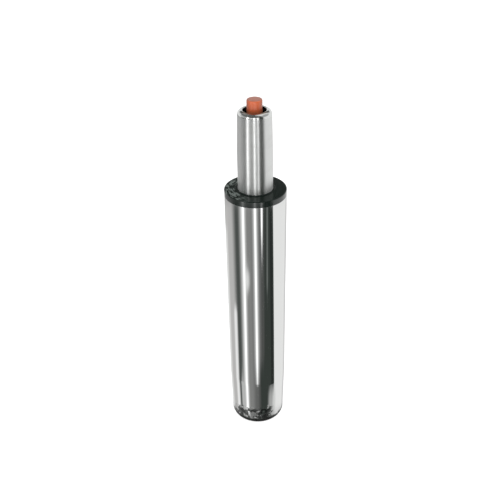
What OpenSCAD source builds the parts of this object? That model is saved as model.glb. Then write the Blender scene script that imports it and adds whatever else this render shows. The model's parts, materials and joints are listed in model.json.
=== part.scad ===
// Chair gas lift cylinder, standing on its tapered foot with the spindle fully lowered.
// Millimetres. The origin is the centre of the foot on the floor, and +Z runs up the axis.

/* [Column] */
// Outer diameter of the column tube
column_d = 50; // [46:0.5:60]
// Wall of the column tube
column_wall = 2; // [1.5:0.1:3]
// Length of the column tube, from the floor to the collar
column_l = 232; // [200:1:300]
// Length of the tapered foot
foot_taper_l = 48; // [30:1:80]
// Outer radius of the foot's rolled edge
foot_edge_r = 2; // [0.5:0.1:3]
// Reach of the foot's rolled lip inwards from the wall
foot_lip = 3; // [1.5:0.1:5]
// Half angle of the foot's taper and of the seat taper, degrees
taper_deg = 1.438; // [0.8:0.001:2.5]

/* [Bottom plate] */
// Thickness of the plate's web
plate_web = 3; // [2:0.1:5]
// Depth of the recess under the web
plate_recess = 5; // [4.5:0.1:8]
// Width of the plate's rim round the recess
plate_rim = 8; // [4:0.5:9]

/* [Guide bush] */
// Height of the collar on top of the column
collar_h = 5; // [4:0.5:12]
// Overhang of the collar past the column's side
collar_over = 0; // [0:0.1:2]
// Rounding of the collar's upper edge
collar_edge_r = 0.9; // [0.3:0.1:2]
// Width of the raised ring on the collar, round the spindle
collar_ring_w = 1.6; // [1:0.1:3]
// Height of the raised ring
collar_ring_h = 0.5; // [0.2:0.1:1]
// Length of the bush inside the column
bush_l = 90; // [60:1:110]
// Wall of each of the bush's two sleeves
bush_wall = 2.2; // [1.5:0.1:2.6]
// Number of ribs between the sleeves
rib_count = 12; // [6:1:18]
// Thickness of one rib
rib_t = 2; // [1:0.1:3]

/* [Spindle] */
// Outer diameter of the spindle
spindle_d = 28; // [26:0.5:30]
// Wall of the spindle
spindle_wall = 1.5; // [1:0.1:2]
// Length of the spindle above the collar when it is lowered
exposed_l = 65; // [50:1:120]
// Length of the seat taper
seat_taper_l = 34; // [20:1:48]
// Travel of the lift
stroke = 100; // [60:1:130]
// Outer radius of the rim, which is rolled in
rim_edge_r = 3.4; // [2.4:0.1:4.5]
// Width of the flat crest of the rim
rim_flat = 0.3; // [0.1:0.1:2]
// Radius of the roll on the inside of the rim
rim_roll_r = 0.4; // [0.3:0.1:1]
// Straight nose under the roll
rim_nose = 0.8; // [0.4:0.1:1.5]
// Outer radius of the spindle's lower edge
spindle_edge_r = 1.4; // [0.5:0.1:2]
// Gap between the rod and the spindle's lower lip
spindle_mouth = 3; // [1:0.5:5]

/* [Working cylinder] */
// Gap between the inner tube and the spindle
annulus = 1.3; // [0.8:0.1:2]
// Wall of the inner tube
inner_wall = 1; // [0.8:0.1:1.5]
// Thickness of the washers round the rod seal
washer_t = 1.6; // [1:0.1:3]
// Height of the rod seal
seal_h = 7; // [5:0.5:10]
// Depth of the groove between the seal's lips
seal_groove = 3; // [1:0.1:4]
// Height of the rod guide's flange
guide_flange_h = 8; // [6:0.5:12]
// Height of the rod guide's spigot
guide_spigot_h = 8; // [5:0.5:12]
// Width of a gas slot in the rod guide
slot_w = 2; // [1:0.1:3]
// Depth of a gas slot in the rod guide
slot_depth = 1.4; // [0.6:0.1:2]
// Cord diameter of the static O-rings
o_ring_d = 2; // [1.5:0.1:2.5]

/* [Valve] */
// Depth of the recess round the button, under the rim
holder_recess = 6; // [3:0.5:10]
// Thickness of the valve holder under the recess
holder_floor = 16; // [12:0.5:24]
// Height of the valve body's flange
valve_flange_h = 8; // [6:0.5:12]
// Length of the valve body's spigot in the inner tube
valve_spigot_l = 12; // [9:0.5:18]
// Height of the boss that centres the valve body in the holder
valve_boss_h = 3; // [2:0.5:5]
// Wall of that boss round the pin
valve_boss_wall = 3; // [2:0.5:4]
// Height of the gas chamber in the valve body
chamber_h = 4; // [2:0.5:5]
// Width of the gas chamber round the pin
chamber_w = 1.4; // [0.8:0.1:2]
// Diameter of a gas port
port_d = 2; // [1:0.1:2.5]
// Number of gas ports
port_count = 4; // [2:1:6]
// Cord diameter of the pin's O-rings
pin_ring_d = 1.8; // [1.2:0.1:2.2]

/* [Release button] */
// Diameter of the button
button_d = 12; // [9:0.5:15]
// Height of the button above the rim
button_up = 8; // [4:0.5:14]
// Rounding of the button's top edge
button_edge_r = 1.1; // [0.3:0.1:2]
// Travel of the button
button_travel = 4; // [2:0.5:6]
// Depth of the button's socket on the pin
button_socket_l = 9; // [5:0.5:10]
// Diameter of the release pin
pin_d = 6; // [4:0.5:6.5]
// Depth of the pin's gas neck
pin_neck = 0.9; // [0.4:0.1:1.4]
// Height of the pin's lower head
pin_head_h = 2; // [1:0.1:4]
// Reach of the pin's head past its shank
pin_head_reach = 1.3; // [1:0.1:2]

/* [Piston rod] */
// Diameter of the piston rod
rod_d = 10; // [8:0.5:12]
// Step from the rod down to its lower stem
stem_step = 1; // [0.6:0.1:1.4]
// Length of stem below the clip
stem_tip = 1.6; // [1:0.1:1.8]
// Step from the rod to the neck that carries the piston
neck_step = 1.5; // [1:0.1:2]
// Height of the peened head over the piston
peen_h = 2.4; // [1.5:0.1:4]
// Height of the piston
piston_h = 12; // [8:0.5:20]
// Height of the piston ring
piston_ring_h = 3; // [2:0.5:5]
// Depth of the piston ring's groove
piston_ring_w = 1.6; // [1:0.1:2.5]
// Thickness of the piston's two washers
piston_washer_t = 1.5; // [1:0.1:3]
// Thickness of the retaining clip
clip_t = 1.2; // [0.8:0.1:1.4]
// Depth of the clip's groove in the stem
clip_groove = 1; // [0.6:0.1:1.4]
// Reach of the clip past the stem
clip_reach = 3; // [2:0.5:4]
// Thickness of the washer over the clip
clip_washer_t = 1.2; // [0.8:0.1:1.4]
// Reach of that washer past the stem
clip_washer_reach = 5; // [3:0.5:7]

/* [Thrust bearing] */
// Diameter of a ball
ball_d = 5; // [4:0.5:6]
// Depth of the ball grooves in the races
race_groove = 0.8; // [0.4:0.1:1.2]
// Thickness of a race
race_t = 2; // [1.6:0.1:4]
// Land of the races past the balls
race_land = 2; // [1:0.1:3]
// Least web of the cage between two balls
cage_web = 1.2; // [0.8:0.1:3]
// Rim of the cage inside and outside the balls
cage_rim = 1.3; // [0.8:0.1:1.8]
// Gap between the cage and each race
cage_gap = 0.5; // [0.3:0.1:0.8]
// Gap between the stem and the bearing's fixed rings
stem_gap = 2; // [1:0.1:3]
// Height of the rubber cushion under the bearing
cushion_h = 4; // [2:0.5:8]
// Height of the bump stop on the rod
bump_h = 10; // [6:0.5:16]
// Wall of the bump stop round the rod
bump_wall = 7; // [4:0.5:8]
// Depth of the waist in the bump stop
bump_waist = 1.5; // [0.5:0.1:2.5]

/* [Clearances] */
// Radial clearance of a running or sliding fit
running_clear = 0.05; // [0.02:0.01:0.1]
// Clearance between pieces that are fixed together
seat_clear = 0.05; // [0.02:0.01:0.1]
// Clearance round a ball in its grooves
ball_clear = 0.06; // [0.04:0.01:0.1]
// Clearance round a ball in its cage
pocket_clear = 0.15; // [0.1:0.01:0.25]
// Clearance of the piston in the inner tube
piston_clear = 0.2; // [0.1:0.01:0.4]
// Gap left at each end of a travel
stop_gap = 0.3; // [0.2:0.1:1]
// End play of the rod in the bottom plate
end_play = 0.25; // [0.2:0.05:0.5]
// Gap of a washer's hole round the piston rod
washer_gap = 0.3; // [0.2:0.1:0.5]

/* [Hidden] */
$fn = 96;
// Segments of a rounded edge in a turned outline
arc_steps = 8;
// Overrun of a cut past the face that it opens
cut_over = 1;

// Column
column_r = column_d / 2;
column_in_r = column_r - column_wall;
function foot_r(z) = column_r - max(0, foot_taper_l - z) * tan(taper_deg);
function foot_in_r(z) = foot_r(z) - column_wall;
foot_lip_r = foot_in_r(column_wall) - foot_lip;

// Bottom plate on the foot's lip, with the clip and its washer in the recess
plate_low_z = column_wall;
web_low_z = plate_low_z + plate_recess;
plate_top_z = web_low_z + plate_web;
plate_recess_r = foot_in_r(plate_low_z) - plate_rim;
rod_r = rod_d / 2;
stem_r = rod_r - stem_step;
clip_washer_top_z = web_low_z - end_play;
clip_top_z = clip_washer_top_z - clip_washer_t;
clip_low_z = clip_top_z - clip_t;
clip_groove_r = stem_r - clip_groove;
rod_low_z = clip_low_z - seat_clear - stem_tip;

// Cushion and thrust bearing on the plate
ball_r = ball_d / 2;
ball_stand = ball_r - race_groove + ball_clear;
cage_in_r = stem_r + stem_gap;
pitch_r = cage_in_r + cage_rim + ball_r;
cage_out_r = pitch_r + ball_r + cage_rim;
race_out_r = pitch_r + ball_r + race_land;
ball_count = floor(360 / (2 * asin((ball_r + pocket_clear + cage_web / 2) / pitch_r)));
cushion_top_z = plate_top_z + cushion_h;
lower_race_top_z = cushion_top_z + race_t;
ball_z = lower_race_top_z + ball_stand;
upper_race_low_z = ball_z + ball_stand;
upper_race_top_z = upper_race_low_z + race_t;
bump_top_z = upper_race_top_z + bump_h;
bump_r = rod_r + bump_wall;

// Guide bush
collar_top_z = column_l + collar_h;
collar_r = column_r + collar_over;
spindle_r = spindle_d / 2;
bush_bore_r = spindle_r + running_clear;
bush_low_z = column_l - bush_l;
bush_out_r = column_in_r - seat_clear;

// Spindle
spindle_low_z = bump_top_z + stop_gap;
spindle_top_z = collar_top_z + exposed_l;
seat_low_z = spindle_top_z - seat_taper_l;
function spindle_out_r(z) = spindle_r - max(0, z - seat_low_z) * tan(taper_deg);
function spindle_in_r(z) = spindle_out_r(z) - spindle_wall;
bore_r = spindle_r - spindle_wall;
spindle_mouth_r = rod_r + spindle_mouth;
rim_edge_z = spindle_top_z - rim_edge_r;
rim_crest_r = spindle_out_r(rim_edge_z) - rim_edge_r;
rim_open_r = rim_crest_r - rim_flat - rim_roll_r;
rim_low_z = spindle_top_z - rim_roll_r - rim_nose;
rim_in_r = rim_edge_r - spindle_wall;
rim_in_z = rim_low_z - rim_in_r;
rim_in_mid_r = spindle_in_r(rim_in_z) - rim_in_r;

// Seal pack and rod guide in the spindle's lower end
end_washer_z = spindle_low_z + spindle_wall;
seal_z = end_washer_z + washer_t;
seal_washer_z = seal_z + seal_h;
guide_z = seal_washer_z + washer_t;
guide_shoulder_z = guide_z + guide_flange_h;
guide_top_z = guide_shoulder_z + guide_spigot_h;
pack_r = bore_r - seat_clear;
rod_bore_r = rod_r + running_clear;
o_ring_r = o_ring_d / 2;
guide_ring_z = guide_z + guide_flange_h / 2;

// Working cylinder and piston
inner_out_r = bore_r - annulus;
inner_in_r = inner_out_r - inner_wall;
spigot_r = inner_in_r - seat_clear;
neck_r = rod_r - neck_step;
piston_seat_z = guide_top_z + stroke + stop_gap;
piston_low_z = piston_seat_z + piston_washer_t;
piston_top_z = piston_low_z + piston_h;
peen_low_z = piston_top_z + piston_washer_t;
piston_r = inner_in_r - piston_clear;
piston_ring_z = piston_low_z + (piston_h - piston_ring_h) / 2;
piston_groove_r = piston_r - piston_ring_w;

// Valve at the top of the spindle
holder_top_z = rim_low_z;
recess_floor_z = holder_top_z - holder_recess;
holder_low_z = recess_floor_z - holder_floor;
valve_shoulder_z = holder_low_z - valve_flange_h;
valve_low_z = valve_shoulder_z - valve_spigot_l;
pin_r = pin_d / 2;
pin_bore_r = pin_r + running_clear;
pin_ring_r = pin_ring_d / 2;
pin_groove_r = pin_bore_r + pin_ring_d + seat_clear;
valve_boss_r = pin_r + valve_boss_wall;
valve_boss_top_z = holder_low_z + valve_boss_h;
upper_ring_z = (recess_floor_z + valve_boss_top_z) / 2;
lower_ring_z = valve_shoulder_z - valve_spigot_l / 2;
holder_ring_z = holder_low_z + holder_floor / 2;
chamber_r = pin_r + chamber_w;
chamber_z = valve_shoulder_z + (valve_flange_h - chamber_h) / 2;
neck_low_z = lower_ring_z + pin_ring_d;
pin_head_top_z = valve_low_z - ball_clear;
pin_low_z = pin_head_top_z - pin_head_h;
pin_head_r = pin_r + pin_head_reach;

// Button
button_r = button_d / 2;
button_low_z = recess_floor_z + button_travel + stop_gap;
button_top_z = spindle_top_z + button_up;
pin_top_z = button_low_z + button_socket_l;

// Points of an arc about c, from angle a to angle b
function arc(c, r, a, b) = [for (i = [0:arc_steps])
    let (t = a + (b - a) * i / arc_steps) c + r * [cos(t), sin(t)]];

// A round wall between two heights and two radii
module ring(low_z, top_z, in_r, out_r) {
    translate([0, 0, low_z]) difference() {
        cylinder(h = top_z - low_z, r = out_r);
        translate([0, 0, -cut_over]) cylinder(h = top_z - low_z + 2 * cut_over, r = in_r);
    }
}

// A round hole between two heights
module hole(low_z, top_z, r) {
    translate([0, 0, low_z]) cylinder(h = top_z - low_z, r = r);
}

// A ring of round cord
module torus(z, big_r, small_r) {
    translate([0, 0, z]) rotate_extrude() translate([big_r, 0]) circle(r = small_r);
}

// A turned piece from its half outline
module turned(points) {
    rotate_extrude() polygon(points);
}

// The column: a chromed tube with a tapered foot and a lip rolled in under it
module outer_column() {
    color("gainsboro") turned(concat(
        [[foot_lip_r, 0]],
        arc([foot_r(foot_edge_r) - foot_edge_r, foot_edge_r], foot_edge_r, -90, 0),
        [[column_r, foot_taper_l], [column_r, column_l],
         [column_in_r, column_l], [column_in_r, foot_taper_l],
         [foot_in_r(column_wall), column_wall], [foot_lip_r, column_wall]]));
}

// The steel plate that closes the foot and carries the bearing
module bottom_plate() {
    color("dimgray") difference() {
        translate([0, 0, plate_low_z]) cylinder(h = plate_top_z - plate_low_z,
            r1 = foot_in_r(plate_low_z) - seat_clear, r2 = foot_in_r(plate_top_z) - seat_clear);
        hole(plate_low_z - cut_over, web_low_z, plate_recess_r);
        hole(plate_low_z, plate_top_z + cut_over, stem_r + running_clear);
    }
}

// The black guide bush: two ribbed sleeves in the column and the collar that shows on top
module guide_bush() {
    ring_top_z = collar_top_z + collar_ring_h;
    ring_out_r = bush_bore_r + collar_ring_w;
    color([0.13, 0.15, 0.14]) {
        turned(concat(
            [[bush_bore_r, column_l], [collar_r, column_l]],
            arc([collar_r - collar_edge_r, collar_top_z - collar_edge_r], collar_edge_r, 0, 90),
            [[ring_out_r, collar_top_z], [ring_out_r, ring_top_z], [bush_bore_r, ring_top_z]]));
        ring(bush_low_z, column_l, bush_bore_r, bush_bore_r + bush_wall);
        ring(bush_low_z, column_l, bush_out_r - bush_wall, bush_out_r);
        difference() {
            for (i = [0:rib_count - 1]) rotate([0, 0, 360 * i / rib_count])
                translate([bush_bore_r + bush_wall / 2, -rib_t / 2, bush_low_z])
                    cube([bush_out_r - bush_bore_r - bush_wall, rib_t, bush_l]);
            hole(bush_low_z - cut_over, column_l + cut_over, bush_bore_r);
        }
    }
}

// The rubber cushion under the bearing
module rubber_cushion() {
    color("black") ring(plate_top_z, cushion_top_z, cage_in_r, race_out_r);
}

// A bearing race with its ball groove, ground to suit the balls
module race(low_z, in_r) {
    difference() {
        ring(low_z, low_z + race_t, in_r, race_out_r);
        torus(ball_z, pitch_r, ball_r + ball_clear);
    }
}

module lower_race() {
    color("silver") race(cushion_top_z, cage_in_r);
}

module upper_race() {
    color("silver") race(upper_race_low_z, stem_r + seat_clear);
}

// The pale plastic cage that spaces the balls
module ball_cage() {
    low_z = lower_race_top_z + cage_gap;
    top_z = upper_race_low_z - cage_gap;
    color("ivory") difference() {
        ring(low_z, top_z, cage_in_r, cage_out_r);
        for (i = [0:ball_count - 1]) rotate([0, 0, 360 * i / ball_count])
            translate([pitch_r, 0, 0]) hole(low_z - cut_over, top_z + cut_over, ball_r + pocket_clear);
    }
}

module bearing_balls() {
    color("lightsteelblue") for (i = [0:ball_count - 1]) rotate([0, 0, 360 * i / ball_count])
        translate([pitch_r, 0, ball_z]) sphere(r = ball_r);
}

// The piston rod: a stem with a clip groove, the rod, a neck and a peened head
module piston_rod() {
    color("silver") turned([
        [0, rod_low_z], [clip_groove_r, rod_low_z],
        [stem_r, rod_low_z + clip_groove], [stem_r, clip_low_z - seat_clear],
        [clip_groove_r, clip_low_z - seat_clear], [clip_groove_r, clip_top_z + seat_clear],
        [stem_r, clip_top_z + seat_clear], [stem_r, upper_race_top_z],
        [rod_r, upper_race_top_z], [rod_r, piston_seat_z],
        [neck_r, piston_seat_z], [neck_r, peen_low_z],
        [rod_r, peen_low_z], [neck_r, peen_low_z + peen_h], [0, peen_low_z + peen_h]]);
}

// The rubber stop that the spindle comes down on
module bump_stop() {
    color("black") difference() {
        ring(upper_race_top_z, bump_top_z, rod_r + seat_clear, bump_r);
        torus((upper_race_top_z + bump_top_z) / 2, bump_r, bump_waist);
    }
}

module clip_washer() {
    color("silver") ring(clip_top_z, clip_washer_top_z, stem_r + seat_clear, stem_r + clip_washer_reach);
}

// The open clip that holds the rod in the bottom plate
module retaining_clip() {
    mouth_w = 2 * clip_groove_r - clip_groove;
    color("darkgray") difference() {
        ring(clip_low_z, clip_top_z, clip_groove_r + seat_clear, stem_r + clip_reach);
        translate([0, -mouth_w / 2, clip_low_z - cut_over])
            cube([stem_r + clip_reach + cut_over, mouth_w, clip_t + 2 * cut_over]);
    }
}

// A washer on the piston's neck
module piston_washer(low_z) {
    color("silver") ring(low_z, low_z + piston_washer_t, neck_r + seat_clear, piston_groove_r);
}

module piston_lower_washer() {
    piston_washer(piston_seat_z);
}

module piston_upper_washer() {
    piston_washer(piston_top_z);
}

module piston() {
    color("khaki") difference() {
        ring(piston_low_z, piston_top_z, neck_r + seat_clear, piston_r);
        ring(piston_ring_z, piston_ring_z + piston_ring_h, piston_groove_r, piston_r + cut_over);
    }
}

module piston_ring() {
    color("dimgray") ring(piston_ring_z + seat_clear, piston_ring_z + piston_ring_h - seat_clear,
        piston_groove_r + seat_clear, inner_in_r - running_clear);
}

// The spindle: a bright tube with the seat taper, a rolled rim on top and a lip rolled in below
module spindle_tube() {
    color("gainsboro") turned(concat(
        [[spindle_mouth_r, spindle_low_z]],
        arc([spindle_r - spindle_edge_r, spindle_low_z + spindle_edge_r], spindle_edge_r, -90, 0),
        [[spindle_r, seat_low_z]],
        arc([rim_crest_r, rim_edge_z], rim_edge_r, 0, 90),
        arc([rim_open_r + rim_roll_r, spindle_top_z - rim_roll_r], rim_roll_r, 90, 180),
        [[rim_open_r, rim_low_z]],
        arc([rim_in_mid_r, rim_in_z], rim_in_r, 90, 0),
        [[bore_r, seat_low_z], [bore_r, end_washer_z], [spindle_mouth_r, end_washer_z]]));
}

// The working cylinder between the rod guide and the valve
module inner_tube() {
    color("lightgray") ring(guide_shoulder_z, valve_shoulder_z, inner_in_r, inner_out_r);
}

module end_washer() {
    color("silver") ring(end_washer_z, seal_z, rod_r + washer_gap, pack_r);
}

// The rubber rod seal, with its two lips towards the gas
module rod_seal() {
    lip_r = (rod_bore_r + pack_r) / 2;
    color("black") turned([
        [rod_bore_r, seal_z], [pack_r, seal_z], [pack_r, seal_washer_z],
        [lip_r + seal_groove / 2, seal_washer_z], [lip_r, seal_washer_z - seal_groove],
        [lip_r - seal_groove / 2, seal_washer_z], [rod_bore_r, seal_washer_z]]);
}

module seal_washer() {
    color("silver") ring(seal_washer_z, guide_z, rod_r + washer_gap, pack_r);
}

// The rod guide: a flange in the spindle, a spigot in the inner tube and gas slots past the tube's end
module rod_guide() {
    color("goldenrod") difference() {
        union() {
            ring(guide_z, guide_shoulder_z, rod_bore_r, pack_r);
            ring(guide_shoulder_z, guide_top_z, rod_bore_r, spigot_r);
        }
        for (i = [0:port_count - 1]) rotate([0, 0, 360 * i / port_count])
            translate([spigot_r - slot_depth, -slot_w / 2, guide_shoulder_z - slot_depth])
                cube([pack_r - spigot_r + slot_depth + cut_over, slot_w, guide_spigot_h + slot_depth + cut_over]);
        ring(guide_ring_z - o_ring_r - seat_clear, guide_ring_z + o_ring_r + seat_clear,
            pack_r - o_ring_d - seat_clear, pack_r + cut_over);
    }
}

module guide_o_ring() {
    color("black") torus(guide_ring_z, pack_r - o_ring_r, o_ring_r);
}

// The valve body: a boss in the holder, a flange over the inner tube, a spigot and the gas ports
module valve_body() {
    color("goldenrod") difference() {
        union() {
            hole(valve_low_z, holder_low_z, spigot_r);
            hole(valve_shoulder_z, holder_low_z, inner_out_r);
            hole(valve_shoulder_z, valve_boss_top_z, valve_boss_r);
        }
        hole(valve_low_z - cut_over, valve_boss_top_z + cut_over, pin_bore_r);
        hole(chamber_z, chamber_z + chamber_h, chamber_r);
        hole(lower_ring_z - pin_ring_r - seat_clear, lower_ring_z + pin_ring_r + seat_clear, pin_groove_r);
        for (i = [0:port_count - 1]) rotate([0, 0, 360 * i / port_count])
            translate([0, 0, chamber_z + chamber_h / 2]) rotate([0, 90, 0])
                cylinder(h = inner_out_r + cut_over, r = port_d / 2);
    }
}

// The valve holder, rounded to fit under the rim, with the recess that the button sinks into
module valve_holder() {
    groove_in_r = spindle_in_r(holder_ring_z) - o_ring_d - 2 * seat_clear;
    color("dimgray") difference() {
        turned(concat(
            [[0, holder_low_z], [min(pack_r, spindle_in_r(holder_low_z) - seat_clear), holder_low_z]],
            arc([rim_in_mid_r - seat_clear, rim_in_z], rim_in_r, 0, 90),
            [[0, holder_top_z]]));
        hole(recess_floor_z, holder_top_z + cut_over, rim_open_r);
        hole(holder_low_z - cut_over, recess_floor_z + cut_over, pin_bore_r);
        hole(holder_low_z - cut_over, valve_boss_top_z + seat_clear, valve_boss_r + seat_clear);
        hole(upper_ring_z - pin_ring_r - seat_clear, upper_ring_z + pin_ring_r + seat_clear, pin_groove_r);
        ring(holder_ring_z - o_ring_r - seat_clear, holder_ring_z + o_ring_r + seat_clear,
            groove_in_r, spindle_r);
    }
}

module holder_o_ring() {
    color("black") torus(holder_ring_z, spindle_in_r(holder_ring_z) - seat_clear - o_ring_r, o_ring_r);
}

// An O-ring round the release pin
module pin_seal(z) {
    color("black") torus(z, pin_bore_r + pin_ring_r, pin_ring_r);
}

module pin_seal_upper() {
    pin_seal(upper_ring_z);
}

module pin_seal_lower() {
    pin_seal(lower_ring_z);
}

// The release pin, with the neck that lets gas past the lower O-ring when it is pressed
module release_pin() {
    color("silver") turned([
        [0, pin_low_z], [pin_head_r, pin_low_z], [pin_head_r, pin_head_top_z],
        [pin_r, pin_head_top_z], [pin_r, neck_low_z],
        [pin_r - pin_neck, neck_low_z + pin_neck], [pin_r - pin_neck, chamber_z + chamber_h - pin_neck],
        [pin_r, chamber_z + chamber_h], [pin_r, pin_top_z], [0, pin_top_z]]);
}

// The orange button, with a socket for the pin
module button_cap() {
    socket_r = pin_r + seat_clear;
    socket_top_z = pin_top_z + seat_clear;
    color([0.82, 0.36, 0.20]) turned(concat(
        [[socket_r, button_low_z], [button_r, button_low_z]],
        arc([button_r - button_edge_r, button_top_z - button_edge_r], button_edge_r, 0, 90),
        [[0, button_top_z], [0, socket_top_z], [socket_r, socket_top_z]]));
}

outer_column();
bottom_plate();
guide_bush();
rubber_cushion();
lower_race();
ball_cage();
bearing_balls();
piston_rod();
upper_race();
bump_stop();
clip_washer();
retaining_clip();
piston_lower_washer();
piston();
piston_ring();
piston_upper_washer();
spindle_tube();
inner_tube();
end_washer();
rod_seal();
seal_washer();
rod_guide();
guide_o_ring();
valve_body();
valve_holder();
holder_o_ring();
pin_seal_upper();
pin_seal_lower();
release_pin();
button_cap();
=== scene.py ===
"""Looks of the chair gas lift: fine turned pieces, finishes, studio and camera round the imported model."""
from __future__ import annotations

import json
import logging
import math
from collections.abc import Sequence
from dataclasses import dataclass, field
from enum import Enum
from typing import Any, Union

import bmesh
import bpy
from mathutils import Matrix, Vector


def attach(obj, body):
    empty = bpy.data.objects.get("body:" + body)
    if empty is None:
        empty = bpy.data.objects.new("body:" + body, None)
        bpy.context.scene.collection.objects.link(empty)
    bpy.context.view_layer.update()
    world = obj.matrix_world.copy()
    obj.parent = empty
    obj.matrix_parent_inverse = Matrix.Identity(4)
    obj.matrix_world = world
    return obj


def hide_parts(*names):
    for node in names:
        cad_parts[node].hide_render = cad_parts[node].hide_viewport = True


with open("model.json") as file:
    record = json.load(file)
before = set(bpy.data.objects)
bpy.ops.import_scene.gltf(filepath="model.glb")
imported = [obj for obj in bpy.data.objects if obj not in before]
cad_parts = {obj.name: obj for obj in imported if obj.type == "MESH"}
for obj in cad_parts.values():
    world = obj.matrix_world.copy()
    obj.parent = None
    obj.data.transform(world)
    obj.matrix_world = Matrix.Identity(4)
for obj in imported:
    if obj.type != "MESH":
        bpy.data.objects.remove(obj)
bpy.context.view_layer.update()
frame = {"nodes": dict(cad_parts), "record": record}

LOG = logging.getLogger("gas_lift")
MM = 0.001
Colour = tuple[float, float, float]
WHITE: Colour = (1.0, 1.0, 1.0)


class Body(Enum):
    """The moving bodies that the new pieces ride on."""

    COLUMN = "column"
    LIFT = "lift"
    RELEASE = "release"


class Slot(Enum):
    """The finishes that the record names."""

    COLUMN_CHROME = "column_chrome"
    SPINDLE_CHROME = "spindle_chrome"
    BLACK_PLASTIC = "black_plastic"
    ORANGE_PLASTIC = "orange_plastic"
    DARK_STEEL = "dark_steel"
    STEEL = "steel"
    GROUND_STEEL = "ground_steel"
    RUBBER = "rubber"
    IVORY_PLASTIC = "ivory_plastic"
    BRASS = "brass"


# Shader expressions


class Value:
    """One output socket of a shader, so that sums on it can be written as expressions."""

    def __init__(self, graph: Graph, socket: bpy.types.NodeSocket) -> None:
        """Keeps the graph and the socket that the value comes from."""
        self.graph = graph
        self.socket = socket

    def __add__(self, other: Term) -> Value:
        """Adds another value."""
        return self.graph.maths("ADD", self, other)

    def __radd__(self, other: Term) -> Value:
        """Adds this value to a number."""
        return self.graph.maths("ADD", other, self)

    def __sub__(self, other: Term) -> Value:
        """Takes another value away."""
        return self.graph.maths("SUBTRACT", self, other)

    def __rsub__(self, other: Term) -> Value:
        """Takes this value away from a number."""
        return self.graph.maths("SUBTRACT", other, self)

    def __mul__(self, other: Term) -> Value:
        """Multiplies by another value."""
        return self.graph.maths("MULTIPLY", self, other)

    def __rmul__(self, other: Term) -> Value:
        """Multiplies a number by this value."""
        return self.graph.maths("MULTIPLY", other, self)

    def __abs__(self) -> Value:
        """Drops the sign."""
        return self.graph.maths("ABSOLUTE", self)


Term = Union[Value, float]


class Graph:
    """The nodes of one material or of the world."""

    def __init__(self, tree: bpy.types.NodeTree) -> None:
        """Starts with an empty node tree."""
        tree.nodes.clear()
        self.tree = tree

    def node(self, kind: str, settings: dict[str, Any] | None = None,
             sockets: dict[str, Any] | None = None) -> bpy.types.Node:
        """Adds one node.

        Args:
            kind: The node's type, without the word that all shader nodes start with.
            settings: Properties, set first.
            sockets: Values or links of the inputs, by identifier or name.

        Returns:
            The new node.
        """
        made = self.tree.nodes.new("ShaderNode" + kind)
        for name, setting in (settings or {}).items():
            setattr(made, name, setting)
        for name, source in (sockets or {}).items():
            self._feed(self._find(made.inputs, name), source)
        return made

    def out(self, made: bpy.types.Node, name: str) -> Value:
        """Gives one output of a node as a value."""
        return Value(self, self._find(made.outputs, name))

    def maths(self, operation: str, *terms: Term) -> Value:
        """Adds a Math node.

        Args:
            operation: Name of the operation.
            terms: Values or numbers, in the order of the node's inputs.

        Returns:
            The result.
        """
        names = ("Value", "Value_001", "Value_002")
        return self.out(self.node("Math", {"operation": operation}, dict(zip(names, terms))), "Value")

    def place(self) -> Value:
        """Gives the object coordinates, in metres."""
        return self.out(self.node("TexCoord"), "Object")

    def split(self, vector: Value) -> tuple[Value, Value, Value]:
        """Gives the three parts of a vector."""
        made = self.node("SeparateXYZ", {}, {"Vector": vector})
        return self.out(made, "X"), self.out(made, "Y"), self.out(made, "Z")

    def stretch(self, vector: Value, scale: Sequence[float]) -> Value:
        """Scales a vector along each axis."""
        sockets = {"Vector": vector, "Vector_001": tuple(scale)}
        return self.out(self.node("VectorMath", {"operation": "MULTIPLY"}, sockets), "Vector")

    def noise(self, vector: Value, scale: float, detail: float = 2.0, rough: float = 0.5) -> Value:
        """Gives smooth noise.

        Args:
            vector: Place where the noise is read.
            scale: Number of blobs in a metre.
            detail: Octaves of finer noise.
            rough: Weight of the finer noise.

        Returns:
            The noise, about 0 to 1.
        """
        sockets = {"Vector": vector, "Scale": scale, "Detail": detail, "Roughness": rough}
        return self.out(self.node("TexNoise", {"noise_dimensions": "3D"}, sockets), "Fac")

    def ease(self, value: Value, low: Term, high: Term) -> Value:
        """Rises smoothly from 0 at the low end to 1 at the high end, or falls where low is above high."""
        sockets = {"Value": value, "From Min": low, "From Max": high, "To Min": 0.0, "To Max": 1.0}
        return self.out(self.node("MapRange", {"interpolation_type": "SMOOTHSTEP"}, sockets), "Result")

    def blend(self, share: Term, first: Any, second: Any) -> Value:
        """Mixes two colours.

        Args:
            share: Share of the second colour, 0 to 1.
            first: Colour or link.
            second: Colour or link.

        Returns:
            The mixed colour.
        """
        sockets = {"Factor_Float": share, "A_Color": first, "B_Color": second}
        return self.out(self.node("Mix", {"data_type": "RGBA"}, sockets), "Result_Color")

    def bump(self, height: Value, depth: float) -> Value:
        """Turns a height of 0 to 1 into a normal, with the depth of the relief in metres."""
        sockets = {"Height": height, "Strength": 1.0, "Distance": depth}
        return self.out(self.node("Bump", {}, sockets), "Normal")

    @staticmethod
    def _find(sockets: Any, name: str) -> bpy.types.NodeSocket:
        """Finds a socket by its identifier, or else by its name.

        Args:
            sockets: Inputs or outputs of a node.
            name: Identifier or name.

        Returns:
            The socket.
        """
        for socket in sockets:
            if socket.identifier == name:
                return socket
        return sockets[name]

    def _feed(self, socket: bpy.types.NodeSocket, source: Any) -> None:
        """Links a value or a socket to an input, or sets the input's own value.

        Args:
            socket: The input.
            source: Value, socket, number, vector or colour.
        """
        if isinstance(source, Value):
            self.tree.links.new(source.socket, socket)
        elif isinstance(source, bpy.types.NodeSocket):
            self.tree.links.new(source, socket)
        elif isinstance(source, tuple) and socket.type == "RGBA" and len(source) == 3:
            socket.default_value = (*source, 1.0)
        else:
            socket.default_value = source


# Finishes


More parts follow.
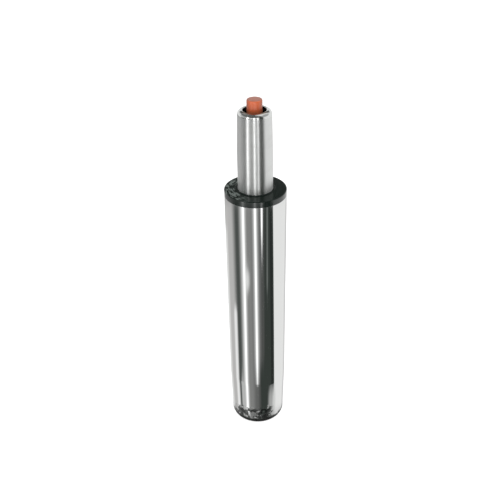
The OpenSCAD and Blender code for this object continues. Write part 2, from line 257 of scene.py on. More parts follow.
@dataclass(frozen=True)
class Finish:
    """A finish: the record's slot, and a shader made from the numbers below it."""

    slot: Slot

    def shade(self, graph: Graph) -> dict[str, Any]:
        """Gives the values and links of the surface shader's sockets."""
        raise NotImplementedError

    def material(self) -> bpy.types.Material:
        """Builds the material.

        Returns:
            The material, named for its slot.
        """
        made = bpy.data.materials.new(self.slot.value)
        made.use_nodes = True
        graph = Graph(made.node_tree)
        surface = graph.node("BsdfPrincipled", {}, self.shade(graph))
        graph.node("OutputMaterial", {}, {"Surface": surface.outputs["BSDF"]})
        return made


@dataclass(frozen=True)
class ColumnChrome(Finish):
    """Mirror chrome, smeared by hands, with a foot scuffed and painted with the reflection of the shaded
    floor, and a rolled edge painted dark with the reflection of the contact shadow.
    """

    slot: Slot = Slot.COLUMN_CHROME
    plate: Colour = (0.90, 0.905, 0.90)
    dulled_and_shaded: Colour = (0.34, 0.345, 0.34)
    edge_shadow_tone: Colour = (0.040, 0.042, 0.040)
    pitted_and_shaded: Colour = (0.066, 0.070, 0.067)
    rough: float = 0.045
    edge_high: float = 6.0 * MM
    mottle_behind: float = 7.0 * MM
    mottle_before: float = 13.0 * MM
    smear_scale: float = 36.0
    blot_scale: float = 250.0
    ripple_scale: float = 60.0
    dent_scale: float = 230.0
    relief: float = 0.10 * MM

    def shade(self, graph: Graph) -> dict[str, Any]:
        """Gives the values and links of the surface shader's sockets.

        Args:
            graph: Graph of the material.

        Returns:
            Values or links, by the socket's name.
        """
        place = graph.place()
        across, along, high = graph.split(place)
        smear = graph.ease(graph.noise(place, self.smear_scale, 4.0), 0.50, 0.78)
        hair = graph.ease(graph.noise(graph.stretch(place, (2400.0, 2400.0, 16.0)), 1.0, 1.0), 0.66, 0.74)
        blot = graph.noise(graph.stretch(place, (1.0, 1.0, 0.9)), self.blot_scale, 2.0, 0.45)
        # Mottled band by the foot, higher at the front and kept off the right side: partly pitting, partly a
        # painted reflection of the shaded floor.
        limit = self.mottle_behind + graph.ease(along, 2.0 * MM, -22.0 * MM) * self.mottle_before
        band_side = graph.ease(across, 16.0 * MM, 10.0 * MM)
        band = graph.ease(high + (blot - 0.5) * (10.0 * MM), limit, limit - 3.0 * MM) * band_side
        worn_and_shaded = band * graph.ease(blot, 0.475, 0.525)
        # Painted shade: a dark band at the rolled edge stands in for the reflected contact shadow under the
        # foot; it is also rougher.
        edge = graph.ease(high + (blot - 0.5) * (5.0 * MM), self.edge_high, self.edge_high - 2.5 * MM)
        # Darker and rougher towards the foot: dulled chrome, plus a painted reflection of the shaded floor.
        dull = graph.ease(high + (blot - 0.5) * (6.0 * MM), limit, self.edge_high * 0.5)
        colour = graph.blend(dull * 0.3, self.plate, self.dulled_and_shaded)
        colour = graph.blend(worn_and_shaded * 0.92, colour, self.pitted_and_shaded)
        colour = graph.blend(edge, colour, self.edge_shadow_tone)
        rough = self.rough + smear * 0.04 + hair * 0.015 + dull * 0.09 + worn_and_shaded * 0.18 + edge * 0.25
        ripple = graph.noise(graph.stretch(place, (1.0, 1.0, 0.25)), self.ripple_scale, 1.0)
        dent = graph.noise(place, self.dent_scale, 1.0)
        uneven = ripple * 0.06 + band * (dent - 0.5) * 5.0
        return {"Base Color": colour, "Metallic": 1.0, "Roughness": rough,
                "Normal": graph.bump(uneven, self.relief)}


@dataclass(frozen=True)
class SpindleChrome(Finish):
    """Ground bright plate: fine marks round the spindle, a smooth rolled rim, and a painted reflection of the
    button's shaded side on the front of the rim.
    """

    slot: Slot = Slot.SPINDLE_CHROME
    plate: Colour = (0.88, 0.89, 0.88)
    film: Colour = (0.76, 0.765, 0.75)
    button_reflection_tone: Colour = (0.40, 0.285, 0.205)
    rough: float = 0.34
    rim_rough: float = 0.15
    grinding: float = 0.90
    across_marks: float = 0.25
    rim_low: float = 300.0 * MM
    rim_radius: float = 11.8 * MM
    fine_marks: float = 5200.0
    broad_marks: float = 420.0
    cloud_scale: float = 70.0
    relief: float = 0.0006 * MM

    def shade(self, graph: Graph) -> dict[str, Any]:
        """Gives the values and links of the surface shader's sockets.

        Args:
            graph: Graph of the material.

        Returns:
            Values or links, by the socket's name.
        """
        place = graph.place()
        across, along, high = graph.split(place)
        radius = graph.maths("SQRT", across * across + along * along)
        rings = graph.noise(graph.stretch(place, (18.0, 18.0, self.fine_marks)), 1.0, 2.0)
        broad = graph.noise(graph.stretch(place, (12.0, 12.0, self.broad_marks)), 1.0, 2.0)
        haze = graph.noise(graph.stretch(place, (1.0, 1.0, 3.0)), self.cloud_scale, 3.0)
        cloud = graph.ease(haze, 0.46, 0.72)
        # Painted reflection: a brown patch on the front of the rim stands in for the button's shaded lower
        # side mirrored there.
        button_reflection = (graph.ease(radius, self.rim_radius, self.rim_radius - 1.6 * MM)
                  * graph.ease(along, -2.5 * MM, -6.5 * MM)
                  * graph.ease(high, self.rim_low, self.rim_low + 1.0 * MM))
        rolled = graph.ease(high, self.rim_low - 1.8 * MM, self.rim_low - 0.8 * MM)
        colour = graph.blend(cloud * 0.3, self.plate, self.film)
        colour = graph.blend(button_reflection, colour, self.button_reflection_tone)
        ground = self.rough + (rings - 0.5) * 0.06 + (broad - 0.5) * 0.02 + cloud * 0.01
        rough = ground + rolled * (self.rim_rough - self.rough) + button_reflection * 0.08
        return {"Base Color": colour, "Metallic": 1.0, "Roughness": rough, "Anisotropic": self.grinding,
                "Anisotropic Rotation": self.across_marks, "Normal": graph.bump(rings, self.relief)}


@dataclass(frozen=True)
class BlackPlastic(Finish):
    """Moulded black plastic: a fine grain, a glossy side, and a top face painted paler on its left, with
    scuffs and a painted reflection.
    """

    slot: Slot = Slot.BLACK_PLASTIC
    resin: Colour = (0.0052, 0.0098, 0.0076)
    scuff_and_glint: Colour = (0.140, 0.164, 0.152)
    rough_top: float = 0.17
    rough_side: float = 0.12
    specular: float = 0.20
    gloss_ior: float = 1.65
    top: float = 237.0 * MM
    clean: float = 16.0 * MM
    scuff_radius: float = 20.0 * MM
    pale_side_from: float = -5.0 * MM
    pale_side_to: float = -14.0 * MM
    grain_scale: float = 2600.0
    wipe_scale: float = 400.0
    relief: float = 0.004 * MM

    def shade(self, graph: Graph) -> dict[str, Any]:
        """Gives the values and links of the surface shader's sockets.

        Args:
            graph: Graph of the material.

        Returns:
            Values or links, by the socket's name.
        """
        place = graph.place()
        across, along, high = graph.split(place)
        radius = graph.maths("SQRT", across * across + along * along)
        grain = graph.noise(place, self.grain_scale, 2.0)
        round_about = graph.maths("ARCTAN2", along, 0.0 - across) * self.scuff_radius
        spread = graph.node("CombineXYZ", {}, {"X": round_about * 0.5, "Y": radius * 1.5, "Z": high})
        wipe = graph.noise(graph.out(spread, "Vector"), self.wipe_scale, 3.0, 0.6)
        face = graph.ease(high, self.top - 0.5 * MM, self.top - 0.1 * MM)
        # Paler patches on the left of the top face, away from the spindle: scuffs, plus a painted reflection.
        side = graph.ease(across, self.pale_side_from, self.pale_side_to) * 0.95 + 0.02
        outside = graph.ease(radius, self.clean, self.clean + 1.0 * MM)
        rub_and_glint = graph.ease(wipe, 0.47, 0.57) * side * face * outside
        colour = graph.blend(rub_and_glint, self.resin, self.scuff_and_glint)
        smooth = self.rough_side + face * (self.rough_top - self.rough_side)
        rough = smooth + rub_and_glint * 0.15 + (grain - 0.5) * 0.08
        return {"Base Color": colour, "Metallic": 0.0, "Roughness": rough,
                "Specular IOR Level": self.specular, "Coat Weight": 1.0 - face, "Coat IOR": self.gloss_ior,
                "Coat Roughness": self.rough_side, "Normal": graph.bump(grain, self.relief)}


@dataclass(frozen=True)
class OrangePlastic(Finish):
    """The button's orange plastic: greyed where the lever rubs it, darker towards the bottom, with painted
    shade on its flanks and low down by the recess.
    """

    slot: Slot = Slot.ORANGE_PLASTIC
    resin: Colour = (0.60, 0.130, 0.050)
    rubbed: Colour = (0.35, 0.150, 0.112)
    recess_shade: Colour = (0.24, 0.080, 0.038)
    deep: Colour = (0.42, 0.078, 0.026)
    flank_shade: Colour = (0.30, 0.098, 0.060)
    rough: float = 0.22
    top: float = 310.0 * MM
    recess_shade_top: float = 304.0 * MM
    recess_shade_bottom: float = 299.5 * MM
    specular: float = 0.6
    blot_scale: float = 260.0
    grain_scale: float = 3200.0
    relief: float = 0.006 * MM

    def shade(self, graph: Graph) -> dict[str, Any]:
        """Gives the values and links of the surface shader's sockets.

        Args:
            graph: Graph of the material.

        Returns:
            Values or links, by the socket's name.
        """
        place = graph.place()
        across, _, high = graph.split(place)
        blot = graph.noise(place, self.blot_scale, 3.0, 0.6)
        grain = graph.noise(place, self.grain_scale, 2.0)
        crown = graph.ease(high + (blot - 0.5) * (0.3 * MM), self.top - 0.35 * MM, self.top - 0.05 * MM)
        # Painted shade: darker low on the button, where it sits down in the spindle's rim.
        low = graph.ease(high + (blot - 0.5) * (4.0 * MM), self.recess_shade_top, self.recess_shade_bottom)
        # Darker, deeper orange towards the bottom of the button.
        lower_darkening = graph.ease(high + (blot - 0.5) * (6.0 * MM), self.top - 2.5 * MM, self.top - 7.0 * MM)
        # Painted shade on both flanks, where the round button turns away from the light.
        flank_shade_mask = graph.ease(abs(across) + (blot - 0.5) * (2.0 * MM), 3.2 * MM, 5.8 * MM)
        colour = graph.blend(lower_darkening * 0.8, self.resin, self.deep)
        colour = graph.blend(flank_shade_mask * 0.6, colour, self.flank_shade)
        colour = graph.blend(crown * 0.85, colour, self.rubbed)
        colour = graph.blend(low * 0.9, colour, self.recess_shade)
        rough = self.rough + crown * 0.12 + low * 0.15 + (grain - 0.5) * 0.08
        return {"Base Color": colour, "Metallic": 0.0, "Roughness": rough,
                "Specular IOR Level": self.specular, "Normal": graph.bump(grain, self.relief)}


@dataclass(frozen=True)
class PlainMetal(Finish):
    """Steel or brass of the inner pieces: turning marks and a cloudy oxide."""

    slot: Slot = Slot.STEEL
    bright: Colour = (0.56, 0.57, 0.58)
    dull: Colour = (0.40, 0.41, 0.42)
    rough: float = 0.30
    marks: float = 2600.0
    cloud_scale: float = 140.0
    relief: float = 0.004 * MM

    def shade(self, graph: Graph) -> dict[str, Any]:
        """Gives the values and links of the surface shader's sockets.

        Args:
            graph: Graph of the material.

        Returns:
            Values or links, by the socket's name.
        """
        place = graph.place()
        cloud = graph.noise(place, self.cloud_scale, 4.0)
        rings = graph.noise(graph.stretch(place, (30.0, 30.0, self.marks)), 1.0, 2.0)
        colour = graph.blend(graph.ease(cloud, 0.35, 0.70), self.bright, self.dull)
        rough = self.rough + (cloud - 0.5) * 0.12 + (rings - 0.5) * 0.10
        return {"Base Color": colour, "Metallic": 1.0, "Roughness": rough,
                "Normal": graph.bump(rings, self.relief)}


@dataclass(frozen=True)
class Moulding(Finish):
    """Rubber or pale plastic of the inner pieces: a matt, slightly clouded moulding."""

    slot: Slot = Slot.RUBBER
    body: Colour = (0.018, 0.018, 0.018)
    bloom: Colour = (0.045, 0.044, 0.042)
    rough: float = 0.62
    relief: float = 0.02 * MM
    cloud_scale: float = 160.0
    grain_scale: float = 1900.0

    def shade(self, graph: Graph) -> dict[str, Any]:
        """Gives the values and links of the surface shader's sockets.

        Args:
            graph: Graph of the material.

        Returns:
            Values or links, by the socket's name.
        """
        place = graph.place()
        cloud = graph.noise(place, self.cloud_scale, 3.0)
        grain = graph.noise(place, self.grain_scale, 2.0)
        colour = graph.blend(graph.ease(cloud, 0.40, 0.75), self.body, self.bloom)
        rough = self.rough + (cloud - 0.5) * 0.16
        return {"Base Color": colour, "Metallic": 0.0, "Roughness": rough,
                "Normal": graph.bump(grain, self.relief)}


FINISHES: tuple[Finish, ...] = (
    ColumnChrome(),
    SpindleChrome(),
    BlackPlastic(),
    OrangePlastic(),
    PlainMetal(Slot.STEEL),
    PlainMetal(Slot.GROUND_STEEL, (0.66, 0.67, 0.68), (0.58, 0.59, 0.60), 0.18, 3600.0),
    PlainMetal(Slot.DARK_STEEL, (0.085, 0.085, 0.09), (0.045, 0.044, 0.046), 0.46, 1800.0),
    PlainMetal(Slot.BRASS, (0.70, 0.50, 0.22), (0.52, 0.36, 0.15), 0.28, 2200.0),
    Moulding(Slot.RUBBER),
    Moulding(Slot.IVORY_PLASTIC, (0.74, 0.70, 0.60), (0.66, 0.61, 0.50), 0.42, 0.006 * MM),
)


# Turned pieces


@dataclass(frozen=True)
class Corner:
    """A corner of a turned outline, in millimetres, with the reach of its rounding along each side."""

    r: float
    z: float
    rounding: float = 0.0
    steps: int = 6


@dataclass(frozen=True)
class Turner:
    """Turns half outlines about the lift's axis."""

    segments: int = 224
    crease_deg: float = 32.0
    weld: float = 0.0002 * MM

    def turn(self, corners: Sequence[Corner]) -> bmesh.types.BMesh:
        """Turns one outline into a closed shell.

        Args:
            corners: The outline in order. It closes on itself unless both ends lie on the axis.

        Returns:
            The turned mesh.
        """
        shell = bmesh.new()
        points = [shell.verts.new((corner.r * MM, 0.0, corner.z * MM)) for corner in corners]
        for first, second in zip(points, points[1:]):
            shell.edges.new((first, second))
        if corners[0].r > 0.0 or corners[-1].r > 0.0:
            shell.edges.new((points[-1], points[0]))
        for point, corner in zip(points, corners):
            if corner.rounding > 0.0:
                bmesh.ops.bevel(shell, geom=[point], offset=corner.rounding * MM, offset_type="OFFSET",
                                segments=corner.steps, profile=0.5, affect="VERTICES", material=-1)
        bmesh.ops.spin(shell, geom=shell.verts[:] + shell.edges[:], cent=(0.0, 0.0, 0.0),
                       axis=(0.0, 0.0, 1.0), dvec=(0.0, 0.0, 0.0), angle=2.0 * math.pi,
                       steps=self.segments, use_merge=True, use_duplicate=False)
        bmesh.ops.remove_doubles(shell, verts=shell.verts[:], dist=self.weld)
        bmesh.ops.recalc_face_normals(shell, faces=shell.faces[:])
        return shell

    def piece(self, name: str, shell: bmesh.types.BMesh, finish: bpy.types.Material) -> bpy.types.Object:
        """Makes an object of a mesh, smooth but for its creases.

        Args:
            name: Name of the piece.
            shell: The mesh, which is used up.
            finish: Material of the whole piece.

        Returns:
            The object, linked to the scene.
        """
        mesh = bpy.data.meshes.new(name)
        shell.to_mesh(mesh)
        shell.free()
        mesh.shade_smooth()
        mesh.set_sharp_from_angle(angle=math.radians(self.crease_deg))
        mesh.materials.append(finish)
        made = bpy.data.objects.new(name, mesh)
        bpy.context.scene.collection.objects.link(made)
        even = made.modifiers.new("even_normals", "WEIGHTED_NORMAL")
        even.keep_sharp = True
        return made


@dataclass
class SubAssembly:
    """What the visible sub-assemblies share: the turner and the finishes."""

    turner: Turner
    finishes: dict[Slot, bpy.types.Material]

    def seat(self, made: bpy.types.Object, body: Body, slot: Slot, node: str) -> bpy.types.Object:
        """Lets a piece ride on its body in place of a node.

        Args:
            made: The new piece.
            body: Body that it moves with.
            slot: Not used.
            node: Node that it stands for.

        Returns:
            The same piece.
        """
        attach(made, body.value)
        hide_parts(node)
        LOG.info("%s rides on %s in place of %s, %d faces",
                 made.name, body.value, node, len(made.data.polygons))
        return made


@dataclass
class Column(SubAssembly):
    """The chromed tube with its tapered foot and rolled lip, in millimetres."""

    radius: float = 25.0
    wall: float = 2.0
    length: float = 232.0
    taper_length: float = 48.0
    taper_deg: float = 1.438
    edge_radius: float = 2.0
    lip_radius: float = 18.845
    lip_edge: float = 0.5
    taper_soft: float = 2.0
    top_edge: float = 0.1
    top_inner_edge: float = 0.2

    def foot_radius(self, z: float) -> float:
        """Gives the outer radius at a height in the taper."""
        return self.radius - (self.taper_length - z) * math.tan(math.radians(self.taper_deg))

    def build(self) -> bpy.types.Object:
        """Turns the tube.

        Returns:
            The tube, riding on the column.
        """
        inner = self.radius - self.wall
        corners = (
            Corner(self.lip_radius, 0.0, self.lip_edge),
            Corner(self.foot_radius(0.0), 0.0, self.edge_radius, 12),
            Corner(self.radius, self.taper_length, self.taper_soft, 4),
            Corner(self.radius, self.length, self.top_edge, 3),
            Corner(inner, self.length, self.top_inner_edge),
            Corner(inner, self.taper_length),
            Corner(self.foot_radius(self.wall) - self.wall, self.wall),
            Corner(self.lip_radius, self.wall, self.lip_edge),
        )
        shell = self.turner.turn(corners)
        made = self.turner.piece("column_tube", shell, self.finishes[Slot.COLUMN_CHROME])
        return self.seat(made, Body.COLUMN, Slot.COLUMN_CHROME, "outer_column")


@dataclass
class GuideBush(SubAssembly):
    """The black bush: a collar on the column, two sleeves in it and the ribs between them, in millimetres."""

    bore: float = 14.05
    outer: float = 22.95
    sleeve: float = 2.2
    low: float = 142.0
    shoulder: float = 232.0
    collar_top: float = 237.0
    collar_radius: float = 25.0
    collar_edge: float = 0.9
    ring_width: float = 1.6
    ring_high: float = 0.5
    rib_count: int = 12
    rib_thick: float = 2.0
    rib_root: float = 0.2
    rib_short: float = 2.0
    sleeve_edge: float = 0.4
    collar_low_edge: float = 0.1
    ring_root: float = 0.15
    ring_edge: float = 0.25
    bore_edge: float = 0.3

    def build(self) -> bpy.types.Object:
        """Turns the collar with its sleeves and sets the ribs between them.

        Returns:
            The bush, riding on the column.
        """
        inner_wall = self.bore + self.sleeve
        outer_wall = self.outer - self.sleeve
        ring_radius = self.bore + self.ring_width
        ring_top = self.collar_top + self.ring_high
        corners = (
            Corner(self.bore, self.low, self.sleeve_edge),
            Corner(inner_wall, self.low, self.sleeve_edge),
            Corner(inner_wall, self.shoulder),
            Corner(outer_wall, self.shoulder),
            Corner(outer_wall, self.low, self.sleeve_edge),
            Corner(self.outer, self.low, self.sleeve_edge),
            Corner(self.outer, self.shoulder),
            Corner(self.collar_radius, self.shoulder, self.collar_low_edge, 3),
            Corner(self.collar_radius, self.collar_top, self.collar_edge, 8),
            Corner(ring_radius, self.collar_top, self.ring_root, 3),
            Corner(ring_radius, ring_top, self.ring_edge, 4),
            Corner(self.bore, ring_top, self.bore_edge, 4),
        )
        shell = self.turner.turn(corners)
        self._add_ribs(shell, inner_wall, outer_wall)
        made = self.turner.piece("collar_bush", shell, self.finishes[Slot.BLACK_PLASTIC])
        return self.seat(made, Body.COLUMN, Slot.BLACK_PLASTIC, "guide_bush")

    def _add_ribs(self, shell: bmesh.types.BMesh, inner_wall: float, outer_wall: float) -> None:
        """Adds the ribs.

        Args:
            shell: Mesh that gets them.
            inner_wall: Radius where they start.
            outer_wall: Radius where they end.
        """
        size = ((outer_wall - inner_wall + 2.0 * self.rib_root) * MM, self.rib_thick * MM,
                (self.shoulder - self.low - self.rib_short) * MM)
        middle = ((inner_wall + outer_wall) / 2.0 * MM, 0.0, (self.shoulder + self.low) / 2.0 * MM)
        for number in range(self.rib_count):
            turned = Matrix.Rotation(2.0 * math.pi * number / self.rib_count, 4, "Z")
            where = turned @ Matrix.Translation(middle) @ Matrix.Diagonal((*size, 1.0))
            bmesh.ops.create_cube(shell, size=1.0, matrix=where)


@dataclass
class Spindle(SubAssembly):
    """The bright spindle: seat taper, rim rolled in over the valve, and a lip below, in millimetres."""

    radius: float = 14.0
    wall: float = 1.5
    low: float = 31.82
    top: float = 302.0
    taper_length: float = 34.0
    taper_deg: float = 1.438
    rim_edge: float = 3.4
    rim_roll: float = 0.4
    rim_inner: float = 1.9
    opening: float = 9.132
    rim_low: float = 300.8
    mouth: float = 8.0
    mouth_edge: float = 0.3
    low_edge: float = 1.4
    taper_soft: float = 1.5
    nose_edge: float = 0.2

    def taper_radius(self, z: float) -> float:
        """Gives the outer radius at a height in the seat taper."""
        start = self.top - self.taper_length
        return self.radius - max(0.0, z - start) * math.tan(math.radians(self.taper_deg))

    def build(self) -> bpy.types.Object:
        """Turns the spindle.

        Returns:
            The spindle, riding on the lift.
        """
        start = self.top - self.taper_length
        bore = self.radius - self.wall
        corners = (
            Corner(self.mouth, self.low, self.mouth_edge),
            Corner(self.radius, self.low, self.low_edge, 8),
            Corner(self.radius, start, self.taper_soft, 4),
            Corner(self.taper_radius(self.top), self.top, self.rim_edge, 16),
            Corner(self.opening, self.top, self.rim_roll, 6),
            Corner(self.opening, self.rim_low, self.nose_edge),
            Corner(self.taper_radius(self.rim_low) - self.wall, self.rim_low, self.rim_inner, 8),
            Corner(bore, start),
            Corner(bore, self.low + self.wall),
            Corner(self.mouth, self.low + self.wall, self.mouth_edge),
        )
        shell = self.turner.turn(corners)
        made = self.turner.piece("spindle_bright", shell, self.finishes[Slot.SPINDLE_CHROME])
        return self.seat(made, Body.LIFT, Slot.SPINDLE_CHROME, "spindle_tube")


@dataclass
class ReleaseButton(SubAssembly):
    """The orange button on its pin, in millimetres."""

    radius: float = 6.0
    low: float = 299.1
    top: float = 310.0
    edge: float = 1.1
    socket: float = 3.05
    socket_top: float = 308.15
    socket_edge: float = 0.2
    low_edge: float = 0.3

    def build(self) -> bpy.types.Object:
        """Turns the button with its socket.

        Returns:
            The button, riding on the release.
        """
        corners = (
            Corner(0.0, self.socket_top),
            Corner(self.socket, self.socket_top),
            Corner(self.socket, self.low, self.socket_edge),
            Corner(self.radius, self.low, self.low_edge),
            Corner(self.radius, self.top, self.edge, 10),
            Corner(0.0, self.top),
        )
        shell = self.turner.turn(corners)
        made = self.turner.piece("release_button", shell, self.finishes[Slot.ORANGE_PLASTIC])
        return self.seat(made, Body.RELEASE, Slot.ORANGE_PLASTIC, "button_cap")


@dataclass
class InnerWorks:
    """The nodes that keep their own meshes: bearing, rod, piston, seals and valve."""

    finishes: dict[Slot, bpy.types.Material]
    left: list[str] = field(default_factory=list)

    def dress(self) -> None:
        """Gives each node the finish that the record names for it."""
        for subpart in frame["record"]["subparts"]:
            node = frame["nodes"][subpart["node"]]
            finish = self.finishes[Slot(subpart["material_slot"])]
            for slot in node.material_slots:
                slot.material = finish
            if not node.material_slots:
                self.left.append(node.name)
        LOG.info("finished %d nodes, %d without a slot", len(frame["nodes"]), len(self.left))


# Studio


@dataclass(frozen=True)
class Card:
    """A studio card that bright metal mirrors, placed round the lift by degrees.

    Azimuth counts from the camera's side to the right. Each fade grows the card from nothing at its first
    elevation to full width at its second.
    """

    azimuth: float
    half: float
    edge: float
    tone: Colour
    lean: float = 0.0
    fades: tuple[tuple[float, float], ...] = ()


@dataclass(frozen=True)
class Lamp:
    """A square lamp, in metres and watts."""

    name: str
    place: tuple[float, float, float]
    size: float
    power: float


STRIP_END = ((-46.8, -41.2),)
STRIP_HALO_END = ((-47.2, -40.8),)
TABLE = ((-5.0, -10.0),)
SHADE_BAND = ((-11.0, -6.0), (9.0, 4.0))
LAMP_BAND = ((-10.0, -5.0), (38.0, 32.0))


@dataclass(frozen=True)
class Studio:
    """White sweep, soft lamps and the cards that stripe the chrome."""

    fill: float = 0.62
    lean_level: float = -39.0
    divide: tuple[float, float] = (-28.9, -27.1)
    floor_gap: float = 0.1 * MM
    floor_half: float = 6.0
    floor_tone: Colour = (0.93, 0.93, 0.93)
    floor_glow: float = 0.45
    aim: tuple[float, float, float] = (0.0, 0.0, 0.16)
    lamps: tuple[Lamp, ...] = (
        Lamp("key", (-0.30, -1.10, 1.15), 0.9, 12.0),
        Lamp("fill", (0.9, 0.5, 1.2), 1.0, 5.0),
    )
    low: Colour = (0.83, 0.83, 0.825)
    high: Colour = (0.78, 0.785, 0.78)
    low_cards: tuple[Card, ...] = (
        Card(-110.0, 30.0, 30.0, (0.50, 0.495, 0.49)),
        Card(-148.0, 22.0, 22.0, (0.52, 0.515, 0.51), 0.0, ((-31.5, -29.5),)),
        Card(-76.0, 17.0, 28.0, (0.075, 0.083, 0.078)),
        Card(-96.5, 8.5, 12.0, (0.86, 0.86, 0.86), 0.0, ((-36.2, -37.6),)),
        Card(-24.0, 22.0, 12.0, (0.23, 0.232, 0.228)),
        Card(2.0, 16.0, 22.0, (0.13, 0.133, 0.13)),
        Card(21.0, 14.0, 14.0, (0.065, 0.068, 0.065)),
        Card(41.5, 32.0, 3.0, (0.040, 0.048, 0.043), -0.7),
        Card(15.0, 7.0, 8.0, (0.13, 0.132, 0.13), 0.0, ((-43.5, -40.5),)),
        Card(24.0, 6.0, 6.0, (0.08, 0.083, 0.08), 0.0, ((-43.5, -40.5),)),
        Card(42.5, 2.8, 4.0, (0.150, 0.162, 0.154), 0.0, ((-37.0, -35.0),)),
        Card(63.0, 5.0, 5.0, (0.022, 0.026, 0.024), -0.7),
        Card(66.0, 15.0, 16.0, (0.40, 0.405, 0.40), 0.0, ((-44.8, -47.2),)),
        Card(80.0, 8.0, 14.0, (0.66, 0.665, 0.66), 0.0, ((-44.4, -46.8),)),
        Card(-68.0, 8.0, 8.0, (0.50, 0.505, 0.50), 0.0, ((-41.0, -44.5),)),
        Card(-37.0, 9.0, 14.0, (0.74, 0.745, 0.74), 0.0, ((-36.6, -35.0), (-33.0, -34.6))),
        Card(-47.5, 6.5, 17.0, (0.86, 0.86, 0.86)),
        Card(-48.0, 3.4, 6.0, (1.3, 1.31, 1.3)),
        Card(-1.2, 7.0, 18.0, (0.82, 0.82, 0.82), -0.15, STRIP_HALO_END),
        Card(-1.6, 3.2, 6.0, (1.3, 1.31, 1.3), -0.15, STRIP_END),
        Card(21.5, 3.0, 5.0, (1.4, 1.4, 1.4), 0.0, ((-35.2, -29.5),)),
        Card(172.0, 26.0, 24.0, (0.54, 0.54, 0.54)),
    )
    high_cards: tuple[Card, ...] = (
        Card(-103.0, 50.0, 16.0, (0.32, 0.32, 0.32), 0.0, TABLE),
        Card(-10.0, 40.0, 10.0, (0.54, 0.545, 0.54), 0.0, TABLE),
        Card(12.0, 8.0, 10.0, (0.70, 0.705, 0.70), 0.0, TABLE),
        Card(44.0, 14.0, 9.0, (0.07, 0.076, 0.072), 0.0, TABLE),
        Card(63.0, 6.0, 8.0, (0.52, 0.52, 0.52), 0.0, TABLE),
        Card(-43.5, 9.0, 18.0, (0.98, 0.98, 0.98), 0.0, TABLE),
        Card(-47.0, 3.0, 7.0, (2.4, 2.4, 2.4), 0.0, TABLE),
        Card(-3.2, 6.0, 14.0, (0.98, 0.98, 0.98), 0.0, TABLE),
        Card(-3.2, 2.8, 6.0, (2.9, 2.9, 2.9), 0.0, TABLE),
        Card(21.0, 3.2, 5.0, (2.5, 2.5, 2.5), 0.0, TABLE),
        Card(-15.0, 75.0, 20.0, (0.40, 0.405, 0.40), 0.0, ((4.0, 9.0),)),
        Card(-10.0, 48.0, 24.0, (0.92, 0.925, 0.92), 0.0, ((4.0, 9.0),)),
        Card(-10.0, 62.0, 20.0, (0.060, 0.062, 0.060), 0.0, ((26.0, 32.0),)),
        Card(88.0, 32.0, 20.0, (0.34, 0.342, 0.34), 0.0, ((14.0, 24.0), (64.0, 54.0))),
        Card(-20.0, 75.0, 20.0, (0.060, 0.064, 0.061), 0.0, SHADE_BAND),
        Card(44.0, 14.0, 9.0, (0.050, 0.054, 0.051), 0.0, ((-10.0, -5.0), (70.0, 60.0))),
        Card(-95.0, 16.0, 16.0, (0.50, 0.50, 0.50), 0.0, ((6.0, 14.0), (50.0, 40.0))),
        Card(-47.0, 3.4, 6.0, (3.4, 3.4, 3.4), 0.0, LAMP_BAND),
        Card(-3.0, 3.0, 6.0, (2.8, 2.8, 2.8), 0.0, LAMP_BAND),
        Card(21.0, 2.4, 5.0, (1.8, 1.8, 1.8), 0.0, LAMP_BAND),
        Card(-70.0, 130.0, 40.0, (0.10, 0.102, 0.10), 0.0, ((46.0, 56.0),)),
        Card(-100.0, 45.0, 30.0, (0.14, 0.143, 0.14), 0.0, ((26.0, 36.0),)),
        Card(180.0, 42.0, 30.0, (0.08, 0.083, 0.08), 0.0, ((18.0, 25.0), (48.0, 38.0))),
        Card(180.0, 60.0, 30.0, (0.75, 0.755, 0.75), 0.0, ((12.0, 16.0), (24.5, 22.5))),
    )

    def build_world(self) -> None:
        """Builds the world: white to the camera, cards to mirrors, and an even fill to all else."""
        world = bpy.data.worlds.new("studio")
        bpy.context.scene.world = world
        world.use_nodes = True
        world.cycles.sampling_method = "NONE"
        graph = Graph(world.node_tree)
        ray = graph.node("LightPath")
        mirrored = self._mirrored(graph)
        fill = (self.fill, self.fill, self.fill)
        colour = graph.blend(graph.out(ray, "Is Glossy Ray"), fill, mirrored)
        colour = graph.blend(graph.out(ray, "Is Camera Ray"), colour, WHITE)
        light = graph.node("Background", {}, {"Color": colour, "Strength": 1.0})
        graph.node("OutputWorld", {}, {"Surface": light.outputs["Background"]})

    def _mirrored(self, graph: Graph) -> Value:
        """Gives the colour that a mirrored ray meets, from its direction.

        Args:
            graph: Graph of the world.

        Returns:
            The colour.
        """
        across, along, up = graph.split(graph.out(graph.node("TexCoord"), "Generated"))
        turn = graph.maths("ARCTAN2", across, 0.0 - along) * math.degrees(1.0)
        rise = graph.maths("ARCSINE", up) * math.degrees(1.0)
        low = self._lay(graph, self.low, self.low_cards, turn, rise)
        high = self._lay(graph, self.high, self.high_cards, turn, rise)
        return graph.blend(graph.ease(rise, *self.divide), low, high)

    def _lay(self, graph: Graph, base: Colour, cards: Sequence[Card], turn: Value, rise: Value) -> Any:
        """Lays cards over a plain colour.

        Args:
            graph: Graph of the world.
            base: Colour behind the cards.
            cards: Cards, the hindmost first.
            turn: Azimuth of the ray, in degrees.
            rise: Elevation of the ray, in degrees.

        Returns:
            The colour that the ray meets.
        """
        colour: Any = base
        for card in cards:
            middle = card.azimuth + (rise - self.lean_level) * card.lean if card.lean else card.azimuth
            off = abs(graph.maths("WRAP", turn - middle, 180.0, -180.0))
            kept: Term = 1.0
            for fade in card.fades:
                kept = graph.ease(rise, *fade) * kept
            reach = kept * card.half
            mask = graph.ease(off, reach + card.edge * 0.5, reach - card.edge * 0.5) * kept
            colour = graph.blend(mask, colour, card.tone)
        return colour

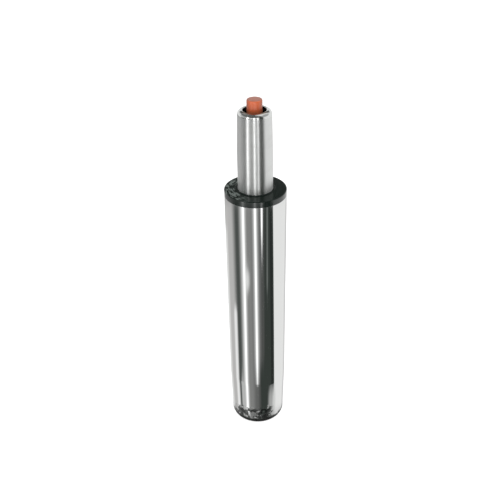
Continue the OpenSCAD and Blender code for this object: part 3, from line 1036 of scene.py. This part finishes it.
    def build_floor(self) -> bpy.types.Object:
        """Lays the pale floor, which keeps the lift's shadow.

        Returns:
            The floor.
        """
        shell = bmesh.new()
        bmesh.ops.create_grid(shell, x_segments=1, y_segments=1, size=self.floor_half)
        mesh = bpy.data.meshes.new("floor")
        shell.to_mesh(mesh)
        shell.free()
        material = bpy.data.materials.new("floor_white")
        material.use_nodes = True
        graph = Graph(material.node_tree)
        ray = graph.node("LightPath")
        matt = graph.node("BsdfDiffuse", {}, {"Color": self.floor_tone})
        shine = graph.out(ray, "Is Camera Ray") * self.floor_glow
        glow = graph.node("Emission", {}, {"Color": WHITE, "Strength": shine})
        shaders = {"Shader": matt.outputs["BSDF"], "Shader_001": glow.outputs["Emission"]}
        both = graph.node("AddShader", {}, shaders)
        graph.node("OutputMaterial", {}, {"Surface": both.outputs["Shader"]})
        mesh.materials.append(material)
        floor = bpy.data.objects.new("floor", mesh)
        floor.location.z = -self.floor_gap
        bpy.context.scene.collection.objects.link(floor)
        floor.visible_glossy = False
        return floor

    def build_lamps(self) -> None:
        """Hangs the lamps, each facing the middle of the lift and hidden from mirrors."""
        for lamp in self.lamps:
            light = bpy.data.lights.new(lamp.name, "AREA")
            light.size = lamp.size
            light.energy = lamp.power
            made = bpy.data.objects.new(lamp.name, light)
            made.location = lamp.place
            facing = Vector(self.aim) - Vector(lamp.place)
            made.rotation_euler = facing.to_track_quat("-Z", "Y").to_euler()
            bpy.context.scene.collection.objects.link(made)
            made.visible_glossy = False


@dataclass(frozen=True)
class Viewpoint:
    """The camera, fitted to the outline of the lift, in metres, degrees and pixels of a 500 pixel frame."""

    place: tuple[float, float, float] = (0.0, -0.48013, 0.48177)
    pitch_deg: float = 32.264
    yaw_deg: float = -0.615
    roll_deg: float = 0.997
    focal_px: float = 677.02
    frame_px: float = 500.0
    sensor_mm: float = 36.0
    near: float = 0.01

    def build(self) -> bpy.types.Object:
        """Sets up the camera and makes it the scene's own.

        Returns:
            The camera.
        """
        pitch = math.radians(self.pitch_deg)
        yaw = math.radians(self.yaw_deg)
        roll = math.radians(self.roll_deg)
        ahead = Vector((math.sin(yaw) * math.cos(pitch), math.cos(yaw) * math.cos(pitch), -math.sin(pitch)))
        right = ahead.cross(Vector((0.0, 0.0, 1.0))).normalized()
        down = ahead.cross(right)
        tilted_right = math.cos(roll) * right + math.sin(roll) * down
        tilted_down = math.cos(roll) * down - math.sin(roll) * right
        turned = Matrix((tilted_right, -tilted_down, -ahead)).transposed().to_4x4()
        lens = bpy.data.cameras.new("camera")
        lens.sensor_fit = "HORIZONTAL"
        lens.sensor_width = self.sensor_mm
        lens.lens = self.focal_px * self.sensor_mm / self.frame_px
        lens.clip_start = self.near
        made = bpy.data.objects.new("camera", lens)
        made.matrix_world = Matrix.Translation(self.place) @ turned
        bpy.context.scene.collection.objects.link(made)
        bpy.context.scene.camera = made
        return made


def main() -> None:
    """Builds camera, studio, finishes and pieces in order."""
    logging.basicConfig(level=logging.INFO, format="%(message)s")
    bpy.context.scene.view_settings.view_transform = "Standard"
    Viewpoint().build()
    studio = Studio()
    studio.build_world()
    studio.build_floor()
    studio.build_lamps()
    finishes = {finish.slot: finish.material() for finish in FINISHES}
    turner = Turner()
    InnerWorks(finishes).dress()
    for assembly in (Column(turner, finishes), GuideBush(turner, finishes), Spindle(turner, finishes),
                     ReleaseButton(turner, finishes)):
        assembly.build()


if __name__ == "__main__":
    main()
